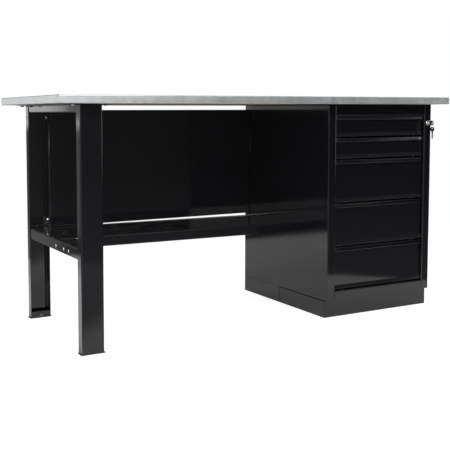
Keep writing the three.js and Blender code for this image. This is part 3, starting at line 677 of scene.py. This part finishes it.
def placed(shell, origin, axisTo, spin=0.0):
    # turns local Z onto a direction and moves the shell to its place
    points, faces = shell
    turn = Vector(axisTo).to_track_quat("Z", "Y").to_matrix() @ Matrix.Rotation(spin, 3, "Z")
    return points @ np.array(turn).T + np.array(origin), faces


def tube(path, radius, sides, aside=(0.31, 0.87, 0.38)):
    # round wire along a path: path + r (cos v, sin v) in the plane of the side vectors, closed by end points;
    # aside is any direction that the path never takes
    way = np.gradient(path, axis=0)
    way /= np.linalg.norm(way, axis=1, keepdims=True)
    one = np.cross(way, aside)
    one /= np.linalg.norm(one, axis=1, keepdims=True)
    two = np.cross(way, one)
    v = np.arange(sides) * 2 * np.pi / sides
    grid = path[:, None] + radius * (np.cos(v)[:, None] * one[:, None] + np.sin(v)[:, None] * two[:, None])
    ends = np.stack([np.repeat(path[:1], sides, 0), np.repeat(path[-1:], sides, 0)])
    grid = np.concatenate([ends[:1], grid, ends[1:]])
    return grid.reshape(-1, 3), [ringFaces(len(grid), sides)]


def dressed(node, bevel, material=None):
    # copy of a CAD node with its doubles merged, flat facets joined and cut edges rounded
    cad, slot = nodes[node], slotOfNode[node]
    mesh = cad.data.copy()
    work = bmesh.new()
    work.from_mesh(mesh)
    bmesh.ops.remove_doubles(work, verts=work.verts, dist=edgeSizes["modelDoubles"])
    within = math.radians(edgeSizes["flatWithin"])
    bmesh.ops.dissolve_limit(work, angle_limit=within, verts=work.verts, edges=work.edges)
    work.to_mesh(mesh)
    work.free()
    finish = material or finishOfSlot[slot]
    return finishPiece(node + "_dressed", mesh, finish, cad["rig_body"], [node], bevel)


print("shape tools ready")


# Worktop: a flat sheet with a folded rim on each side, mitred where the rims meet.
worktopSheet = {
    "gauge": 0.0015,
    "topBend": 0.0024,
    "underBend": 0.0016,
    "hem": 0.020,
    "slit": 0.0009,  # half of the gap between two hems
    "seam": 0.00012,  # half of the seam at a corner
    "topFlat": 0.008,
    "stations": 25,
}


def worktopRim(w, side, low, high):
    # rim profile (inset, z) carried between mitred ends: along = share * (half length - inset - gap)
    half = w["gauge"] / 2
    one, other = foldedLine([
        (w["gauge"] + w["hem"], low[2] + half), (half, low[2] + half),
        (half, high[2] - half), (w["topFlat"], high[2] - half),
    ], w["gauge"], [w["underBend"], w["topBend"]], 8)
    inset, z = np.concatenate([one, other[::-1]]).T
    gap = np.where((z < low[2] + 2 * w["gauge"]) & (inset > 2 * w["gauge"]), w["slit"], w["seam"])
    middle, size = (low + high) / 2, (high - low) / 2
    out = np.array([[1, 0], [0, 1], [-1, 0], [0, -1]][side], float)
    along = np.array([-out[1], out[0]])
    reach, length = abs(size[:2] @ out), abs(size[:2] @ along)
    share = np.linspace(-1.0, 1.0, w["stations"])[:, None]
    flat = (reach - inset)[None, :, None] * out + (share * (length - inset - gap))[:, :, None] * along
    grid = np.concatenate([flat + middle[:2], np.broadcast_to(z, flat.shape[:2])[:, :, None]], axis=2)
    return grid.reshape(-1, 3), sweptFaces(w["stations"], len(z))


def addWorktopSheet(w):
    low, high = np.array(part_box("worktop_skin"))
    rims = [worktopRim(w, side, low, high) for side in range(4)]
    inner = np.array([w["topFlat"], w["topFlat"], 0.0])
    top = plate(np.array([low[0], low[1], high[2] - w["gauge"]]) + inner, high - inner)
    newPiece("worktop_sheet", rims + [top], sheetMetal, "frame", ["worktop_skin"])


addWorktopSheet(worktopSheet)
print("worktop folded")


# Drawers: front folded from one sheet with its grip, tray with ribbed floor, channels for the runners.
drawerSheet = {
    "gauge": 0.0015,
    "bend": 0.0016,
    "recess": 0.014,  # front of the cabinet to the flat face
    "return": 0.0155,
    "gripReach": 0.010,
    "gripDrop": 0.017,
    "gripRise": 0.006,
    "gripTaper": 0.005,
    "gripInset": 0.006,  # grip to the end of the front
    "band": 0.015,
    "bandReach": 0.006,
    "topLap": 0.024,
    "lowLap": 0.017,
    "trayBend": 0.0022,
    "trayHem": 0.008,
    "ribs": (-0.15, -0.05, 0.05, 0.15),
    "ribFoot": 0.009,  # middle of a rib to where it leaves the floor
    "ribCrown": 0.006,
    "ribHeight": 0.0012,
    "ribBend": 0.001,
    "railDepth": 0.009,
    "railHeight": 0.014,
    "railFloor": 0.015,
    "railSetback": 0.0115,
    "railClear": 0.0001,
    "bevel": 0.0002,
}


def drawerFront(number, d):
    low, high = np.array(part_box(f"drawer_{number}_front"))
    gauge, half, inset = d["gauge"], d["gauge"] / 2, d["gripInset"]
    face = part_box("cabinet_shell")[0].y + d["recess"]
    back = face + d["return"]
    height = high[2] - low[2]
    section = np.array([
        (back - half, height - d["topLap"]),
        (back - half, height - half),
        (face - d["gripReach"] + d["gripTaper"], height - half),
        (face - d["gripReach"] + half, height - d["gripDrop"] + half),
        (face + half, height - d["gripDrop"] + d["gripRise"]),
        (face + half, d["band"]),
        (face - d["bandReach"] + half, half),
        (back - half, half),
        (back - half, d["lowLap"]),
    ]) + (0.0, low[2])
    one, other = foldedLine(section, gauge, d["bend"], 7)
    # the grip stops short of both ends: x = end + inset * (reach of the point / reach of the grip)
    y, z = np.concatenate([one, other[::-1]]).T
    share = np.clip((face - y) / d["gripReach"], 0.0, 1.0) * (z > low[2] + d["band"] + gauge)
    between = np.linspace(low[0] + 2 * inset, high[0] - 2 * inset, 9)[:, None] + 0.0 * share
    stations = np.vstack([low[0] + inset * share, between, high[0] - inset * share])
    shells = [carried(one, other, stations, "x")]
    # a plate closes each end of the grip, and a flange each end of the front
    lip, top, bottom = face - d["gripReach"] + gauge, high[2] - gauge, high[2] - d["gripDrop"] + gauge
    lower = np.array([(face, bottom + d["gripRise"]), (lip, bottom)])
    upper = np.array([(face, top), (lip + d["gripTaper"], top)])
    for x, step in ((low[0], gauge), (high[0], -gauge)):
        start = x + math.copysign(inset, step)
        shells.append(carried(lower, upper, sorted((start, start + step)), "x"))
        shells.append(plate((x, face + half, low[2] + half), (x + step, back - half, high[2] - half)))
    newPiece(f"drawer_{number}_front_panel", shells, coat, f"drawer_{number}",
             [f"drawer_{number}_front"], d["bevel"])


def drawerTray(number, d):
    low, high = np.array(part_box(f"drawer_{number}_tray"))
    gauge, half = d["gauge"], d["gauge"] / 2
    middle = (low[0] + high[0]) / 2
    side = (high[0] - low[0]) / 2 - d["railDepth"] - half
    floor, top = low[2] + half, high[2] - half
    foot, crown, rise = d["ribFoot"], d["ribCrown"], d["ribHeight"]
    rib = ((-foot, 0.0), (-crown, rise), (crown, rise), (foot, 0.0))
    ribs = [(x + dx, floor + dz) for x in d["ribs"] for dx, dz in rib]
    corners = [(-side + d["trayHem"], top), (-side, top), (-side, floor)] + ribs
    corners += [(side, floor), (side, top), (side - d["trayHem"], top)]
    bends = [d["trayBend"]] * 2 + [d["ribBend"]] * len(ribs) + [d["trayBend"]] * 2
    one, other = foldedLine(np.array(corners) + (middle, 0.0), gauge, bends, 5)
    shells = [carried(one, other, np.linspace(low[1], high[1], 5), "y")]
    for y in (low[1], high[1] - gauge):
        shells.append(plate((middle - side, y, floor), (middle + side, y + gauge, top)))
    level, flange = low[2] + d["railFloor"], d["railHeight"] / 2 - half
    for sign in (-1, 1):
        x = middle + sign * (side + half + d["railClear"])
        out = x + sign * (d["railDepth"] - half - d["railClear"])
        channel = [(x, level - flange), (out, level - flange), (out, level + flange), (x, level + flange)]
        rail = foldedLine(channel, gauge, d["bend"], 5)
        shells.append(carried(*rail, [low[1] + d["railSetback"], high[1]], "y"))
    newPiece(f"drawer_{number}_box", shells, zinc, f"drawer_{number}",
             [f"drawer_{number}_tray"], d["bevel"])


for number in range(1, 6):
    drawerFront(number, drawerSheet)
    drawerTray(number, drawerSheet)
    print("drawer", number, "folded")


# Screws and bolts, drawn with the head up and turned to face out of the sheet.
fastenerSizes = {
    "shank": 0.004,
    "tipShare": 0.8,
    "headRadius": 0.007,
    "headHeight": 0.0045,
    "rimShare": 0.25,  # height of the head's straight rim
    "domeAngle": 1.25,
    "socket": 0.0025,  # middle of the socket to its flats
    "socketDepth": 0.0024,
    "socketTip": 0.0005,
    "socketSpin": 0.4,
    "rearPitch": 0.098,  # rear screw under the left flange to the one next to it
    "thirdSpin": 0.9,
    "flats": 0.0065,  # middle of a hexagon head to its flats
    "crownShare": 0.94,
    "cone": 30.0,
    "hexHeight": 0.005,
    "hexTip": 0.0006,
    "hexSpin": 0.2,
    "washer": 0.0085,
    "washerGauge": 0.0012,
    "washerEdge": 0.0002,
    "bevel": 0.0001,
}


def hexagon(u):
    # distance to the flats grows to the corners as 1 / cos of the angle from the nearest flat
    return 1.0 / np.cos((u + np.pi / 6) % (np.pi / 3) - np.pi / 6)


def socketScrew(f, length):
    # rounded head with a hexagon socket: socket floor, its wall, dome z = h sin a at r = R cos a, shank
    shank, rim, top = f["shank"], f["headHeight"] * f["rimShare"], f["headHeight"]
    a = np.linspace(f["domeAngle"], 0.0, 8)
    dome = rim + (top - rim) * np.sin(a) / np.sin(f["domeAngle"])
    radii = [0, f["socket"], f["socket"], *(f["headRadius"] * np.cos(a)), f["headRadius"], shank, shank,
             shank * f["tipShare"], 0]
    floor = top - f["socketDepth"]
    heights = [floor, floor, top - f["bevel"], *dome, 0.0, 0.0, f["socketTip"] - length, -length, -length]

    def outline(u, r, z):
        r[1:3] *= hexagon(u)
        return r, z
    return lathe(radii, heights, 48, outline)


def hexBolt(f, length):
    # hexagon head cut by a cone, washer, shank
    top, flats, shank = f["hexHeight"], f["flats"], f["shank"]
    washer, gauge, edge = f["washer"], f["washerGauge"], f["washerEdge"]
    radii = [0, flats * f["crownShare"], flats, flats, washer - edge, washer, washer, shank, shank,
             shank * f["tipShare"], 0]
    heights = [top, top, top - f["bevel"], gauge, gauge, gauge - edge, 0.0, 0.0,
               f["hexTip"] - length, -length, -length]

    def outline(u, r, z):
        r[2:4] *= hexagon(u)
        z[2] -= (r[2] - flats) * math.tan(math.radians(f["cone"]))
        return r, z
    return lathe(radii, heights, 48, outline)


def addFastener(f, name, shell, origin, facing, spin, metal, replaced=()):
    newPiece(name, [placed(shell, origin, facing, spin)], metal, "frame", replaced, f["bevel"])


def addFasteners(f):
    down = (0, 0, -1)
    for side in ("left", "right"):
        for end in ("front", "rear"):
            node = f"worktop_screw_{side}_{end}"
            low, high = np.array(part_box(node))
            origin = [(low[0] + high[0]) / 2, (low[1] + high[1]) / 2, low[2] + f["headHeight"]]
            screw = socketScrew(f, high[2] - origin[2])
            # painted shade: only the left front screw keeps the bright zinc, the other screws take the shaded
            # copy
            metal = zinc if (side, end) == ("left", "front") else shadedZinc
            addFastener(f, node + "_socket", screw, origin, down, f["socketSpin"], metal, [node])
            # a third screw beside the left rear one, also in the shaded zinc as painted shade
            if (side, end) == ("left", "rear"):
                origin[1] -= f["rearPitch"]
                addFastener(f, "worktop_screw_left_third", screw, origin, down, f["thirdSpin"], shadedZinc)
    for node, axis, sign in (
            ("front_foot_bolt", 1, 1), ("rear_foot_bolt", 1, -1),
            ("panel_bolt_lower", 0, -1), ("panel_bolt_upper", 0, -1)):
        low, high = np.array(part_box(node))
        head, tip = (high, low) if sign > 0 else (low, high)
        origin = (low + high) / 2
        origin[axis] = head[axis] - sign * f["hexHeight"]
        bolt = hexBolt(f, abs(origin[axis] - tip[axis]))
        facing = np.zeros(3)
        facing[axis] = sign
        # painted shade: the rear foot bolt takes the shaded zinc
        metal = shadedZinc if node == "rear_foot_bolt" else zinc
        addFastener(f, node + "_hex", bolt, origin, facing, f["hexSpin"], metal, [node])


addFasteners(fastenerSizes)
print("screws and bolts turned")


# Strip that closes the slit between shelf and back panel at the leg frame: painted shade, a dark coated sheet
# that stands in for the dark of the open slit.
slitShadeSizes = {
    "length": 0.2245,
    "gauge": 0.0012,
    "drop": 0.006,
    "depth": 0.018,
    "start": 0.002,  # its end to that of the panel
    "proud": 0.0008,  # its middle line in front of the panel's face
    "under": 0.0009,
    "bevel": 0.0002,
}


def addSlitShade(k):
    # angle hung under the lower edge of the panel, carried along X
    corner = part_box("back_panel")[0]
    y, z = corner.y - k["proud"], corner.z - k["under"]
    section = foldedLine([(y, z - k["drop"]), (y, z), (y + k["depth"], z)], k["gauge"], k["gauge"], 5)
    start = corner.x + k["start"]
    shell = carried(*section, [start, start + k["length"]], "x")
    newPiece("slit_shade_strip", [shell], coat, "frame", bevel=k["bevel"])


addSlitShade(slitShadeSizes)
print("panel strip folded")


# Plinth: its halves with a shadow gap on top and between them, laps behind their two joints, and a lip that
# centres the cabinet on it.
plinthSizes = {
    "frontGap": 0.003,
    "rearGap": 0.0005,
    "jointGap": 0.0008,
    "wall": 0.0015,
    "clear": 0.0003,
    "gauge": 0.0012,
    "half": 0.02,
    "raised": (0.008, 0.005),  # where the lap leaves the walls and where it reaches its full height
    "height": 0.003,
    "inset": 0.004,
    "lipClear": 0.004,
    "lip": 0.0212,
    "lipSeam": 0.0002,
    "lipTop": 0.0001,
    "bevel": 0.0002,
    "cutBevel": 0.0003,
    "topWithin": 0.0005,  # points this near the top or the joint are moved
    "jointWithin": 0.0003,
}


def plinthHalf(k, node, topGap, jointSide, way):
    # the folded cover as modelled, its top edge lowered and its joint edges drawn back
    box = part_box(node)
    mesh = dressed(node, k["cutBevel"]).data
    spots = np.empty(len(mesh.vertices) * 3)
    mesh.vertices.foreach_get("co", spots)
    spots = spots.reshape(-1, 3)
    spots[spots[:, 2] > box[1].z - k["topWithin"], 2] -= topGap
    spots[np.abs(spots[:, 1] - box[jointSide].y) < k["jointWithin"], 1] += way * k["jointGap"]
    mesh.vertices.foreach_set("co", spots.ravel())
    mesh.update()


def addPlinthLip(k):
    # flat strip on edge, folded round the inside of the walls and carried upwards
    low, high = np.array(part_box("plinth_front")[0]), np.array(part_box("plinth_rear")[1])
    inward = k["wall"] + k["lipClear"] + k["gauge"] / 2
    (x0, y0), (x1, y1) = low[:2] + inward, high[:2] - inward
    middle, seam = (x0 + x1) / 2, k["lipSeam"]
    line = [(middle - seam, y1), (x0, y1), (x0, y0), (x1, y0), (x1, y1), (middle + seam, y1)]
    section = foldedLine(line, k["gauge"], k["gauge"], 5)
    shell = carried(*section, [high[2] - k["lip"], high[2] - k["lipTop"]], "z")
    newPiece("plinth_lip", [shell], coat, "frame", bevel=k["bevel"])


def addPlinthLaps(k):
    # hat section behind the inner face of each side, carried upwards; the second is the first mirrored in the
    # middle
    low, high = np.array(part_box("plinth_front"))
    x, y = low[0] + k["wall"] + k["clear"] + k["gauge"] / 2, high[1]
    foot, crown = k["raised"]
    top = x + k["height"]
    line = [(x, y + k["half"]), (x, y + foot), (top, y + crown),
            (top, y - crown), (x, y - foot), (x, y - k["half"])]
    section = foldedLine(line, k["gauge"], k["gauge"], 3)
    left = carried(*section, [low[2] + k["inset"], high[2] - k["lip"] - k["clear"]], "z")
    right = left[0] * (-1.0, 1.0, 1.0) + (low[0] + high[0], 0.0, 0.0)
    newPiece("plinth_laps", [left, (right, left[1])], coat, "frame", bevel=k["bevel"])


plinthHalf(plinthSizes, "plinth_front", plinthSizes["frontGap"], 1, -1)
plinthHalf(plinthSizes, "plinth_rear", plinthSizes["rearGap"], 0, 1)
addPlinthLip(plinthSizes)
addPlinthLaps(plinthSizes)
print("plinth folded")


# Gang lock, its keys and the split ring.
lockSizes = {
    "bore": 0.0062,
    "boreEdge": 0.0006,
    "bezel": 0.011,
    "bezelHeight": 0.003,
    "bezelLip": 0.0012,
    "housing": 0.009,
    "step": 0.0002,  # bezel to the sheet
    "bow": 0.010,
    "bowGauge": 0.0015,  # half of its thickness
    "bowHollow": (0.16, 0.22),  # depth and width of the hollow, as shares
    "hole": 0.0032,
    "holeOffset": 0.0045,
    "bladeHalf": 0.001,
    "bladeWidth": 0.007,
    "bladeLength": 0.030,
    "bladeStart": 0.003,  # how far the blade reaches into the bow
    "bladeShank": 0.008,
    "groove": (0.30, 0.36, 0.52, 0.58),  # its edges as shares of the width
    "grooveLeft": 0.55,  # thickness left in it
    "cutDepth": 0.002,
    "cuts": 4,
    "tip": 0.004,
    "tipCut": 0.002,
    "coil": 0.008,
    "coilStart": 0.3,
    "turns": 2,
    "wire": 0.00038,
    "bevel": 0.0001,
}


def lockHousing(k):
    # bezel with a rounded lip, then the barrel behind it and back through the bore
    low, high = np.array(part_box("lock_housing"))
    bore, bezel, barrel, lip = k["bore"], k["bezel"], k["housing"], k["bezelLip"]
    height, edge, step = k["bezelHeight"], k["boreEdge"], k["step"]
    front = low[1] + height
    back = front - high[1]
    a = np.linspace(0.0, np.pi / 2, 7)
    radii = [bore, bore + edge, *(bezel - lip + lip * np.sin(a)), bezel, barrel, barrel, bore, bore]
    heights = [height - edge, height - k["bevel"], *(height - lip + lip * np.cos(a)), step, step, back, back,
               height - edge]
    origin = [(low[0] + high[0]) / 2, front, (low[2] + high[2]) / 2]
    shell = placed(lathe(radii, heights, 64), origin, (0, -1, 0))
    newPiece("lock_bezel", [shell], nickel, "frame", ["lock_housing"], k["bevel"])


def keyBow(k):
    # rays from the rim of the hole to the rim of the disc, p = hole + w (rim - hole), thick by a rounded
    # power curve (1 - |2w - 1|^8)^(1/8), with a shallow moulded hollow in the middle of its width
    u = np.linspace(0.0, 2 * np.pi, 64, endpoint=False)
    ring = np.stack([np.cos(u), np.sin(u)], axis=1)
    rim = ring * k["bow"]
    hole = ring * k["hole"] - (k["holeOffset"], 0.0)
    depth, width = k["bowHollow"]
    w = (1 - np.cos(np.linspace(0.0, np.pi, 22))) / 2
    thick = (1 - np.abs(2 * w - 1) ** 8) ** 0.125 - depth * np.exp(-((w - 0.5) / width) ** 6)
    w = np.concatenate([w, w[-2:0:-1]])
    level = np.concatenate([thick, -thick[-2:0:-1]]) * k["bowGauge"]
    flat = hole[None] + w[:, None, None] * (rim - hole)[None]
    grid = np.concatenate([flat, np.broadcast_to(level[:, None, None], flat.shape[:2] + (1,))], axis=2)
    first = np.arange(len(u))
    last = (len(w) - 1) * len(u) + first
    join = np.stack([last, np.roll(last, -1), np.roll(first, -1), first], axis=1)
    return grid.reshape(-1, 3), [ringFaces(len(w), len(u)), join]


def keyBlade(k):
    # section (y, z) with a milled groove on both faces; its upper edge follows the cuts along X
    start, shank, tip = k["bow"] - k["bladeStart"], k["bow"] + k["bladeShank"], k["bow"] + k["bladeLength"]
    half, width, cut, slope = k["bladeWidth"] / 2, k["bladeWidth"], k["cutDepth"], k["tipCut"]
    step = (tip - k["tip"] - shank) / k["cuts"]
    i = np.arange(1, k["cuts"] + 1)
    teeth = np.stack([shank + (i - 0.5) * step, shank + i * step], 1).ravel()
    knots = np.concatenate([[start, shank], teeth, [tip]])
    heights = np.concatenate([[half, half], np.tile([half - cut, half], k["cuts"]), [half - cut]])
    x = np.unique(np.concatenate([knots, np.linspace(start, tip, 33)]))
    upper = np.interp(x, knots, heights)
    lower = np.interp(x, [start, tip - slope, tip], [-half, -half, -half + slope])
    v = np.array([0.0, *k["groove"], 1.0])
    deep = np.array([1.0, 1.0, k["grooveLeft"], k["grooveLeft"], 1.0, 1.0]) * k["bladeHalf"]
    v, z = np.concatenate([v, v[::-1]]), np.concatenate([deep, -deep[::-1]])
    y = lower[:, None] + v * np.minimum(upper - lower, width)[:, None]
    grid = np.stack([np.broadcast_to(x[:, None], y.shape), y, np.broadcast_to(z, y.shape)], axis=-1)
    return grid.reshape(-1, 3), sweptFaces(len(x), len(v))


def turned(shell, origin, axes):
    # local X, Y, Z laid onto three directions
    points, faces = shell
    return points @ np.array(axes, float) + np.array(origin), faces


def addKeys(k):
    workLow, workHigh = np.array(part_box("key"))
    spareLow, spareHigh = np.array(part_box("spare_key"))
    work = [(workLow[0] + workHigh[0]) / 2, workLow[1] + k["bow"], (workLow[2] + workHigh[2]) / 2]
    spare = [(spareLow[0] + spareHigh[0]) / 2, (spareLow[1] + spareHigh[1]) / 2, spareHigh[2] - k["bow"]]
    intoLock = [(0, 1, 0), (0, 0, 1), (1, 0, 0)]
    hanging = [(0, 0, -1), (0, 1, 0), (1, 0, 0)]
    for node, body, origin, axes in (
            ("key", "lock_plug", work, intoLock), ("spare_key", "hanging_key", spare, hanging)):
        bow, blade = (turned(shell, origin, axes) for shell in (keyBow(k), keyBlade(k)))
        newPiece(node + "_bow", [bow], plastic, body, [node])
        newPiece(node + "_blade", [blade], keySteel, body, bevel=k["bevel"])


def addSplitRing(k):
    # two turns of wire side by side: (R cos t, pitch, R sin t)
    low, high = np.array(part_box("key_ring"))
    t = np.linspace(k["coilStart"], k["coilStart"] + k["turns"] * 2 * np.pi, 161)
    side = np.linspace(-1.0, 1.0, len(t)) * k["wire"]
    path = np.stack([k["coil"] * np.cos(t), side, k["coil"] * np.sin(t)], axis=1) + (low + high) / 2
    newPiece("split_ring", [tube(path, k["wire"], 10)], keySteel, "hanging_key", ["key_ring"])


lockHousing(lockSizes)
addKeys(lockSizes)
addSplitRing(lockSizes)
print("lock and keys made")


# Folded sheet parts taken over from the model, with the radius of their cut edges.
takenOver = {
    "front_leg": 0.0004, "rear_leg": 0.0004, "top_crossbar": 0.0004, "lower_crossbar": 0.0004,
    "front_foot": 0.0005, "rear_foot": 0.0005, "shelf": 0.0003, "back_panel": 0.0003,
    "cabinet_shell": 0.0003, "cabinet_top": 0.0003, "cabinet_base": 0.0003,
    "lock_plug": 0.0002, "lock_bar": 0.0003,
    "lock_bar_guide_lower": 0.0002, "lock_bar_guide_upper": 0.0002,
}
takenOver.update({f"drawer_{i}_catch": 0.0002 for i in range(1, 6)})
takenOver.update({f"runner_{i}_{side}": 0.0002 for i in range(1, 6) for side in ("left", "right")})
takenOver.update({f"upright_{side}_{end}": 0.0002 for side in ("left", "right") for end in ("front", "rear")})
for node, width in takenOver.items():
    # painted shade: uprights and catches, in the shade inside the cabinet, take the shaded zinc
    dull = node.startswith("upright") or node.endswith("catch")
    dressed(node, width, material=shadedZinc if dull else None)
print("frame and cabinet dressed")

for name, cad in nodes.items():
    if cad.hide_render:
        continue
    cad.data.materials.clear()
    cad.data.materials.append(finishOfSlot[slotOfNode[name]])
    print("kept as modelled:", name)
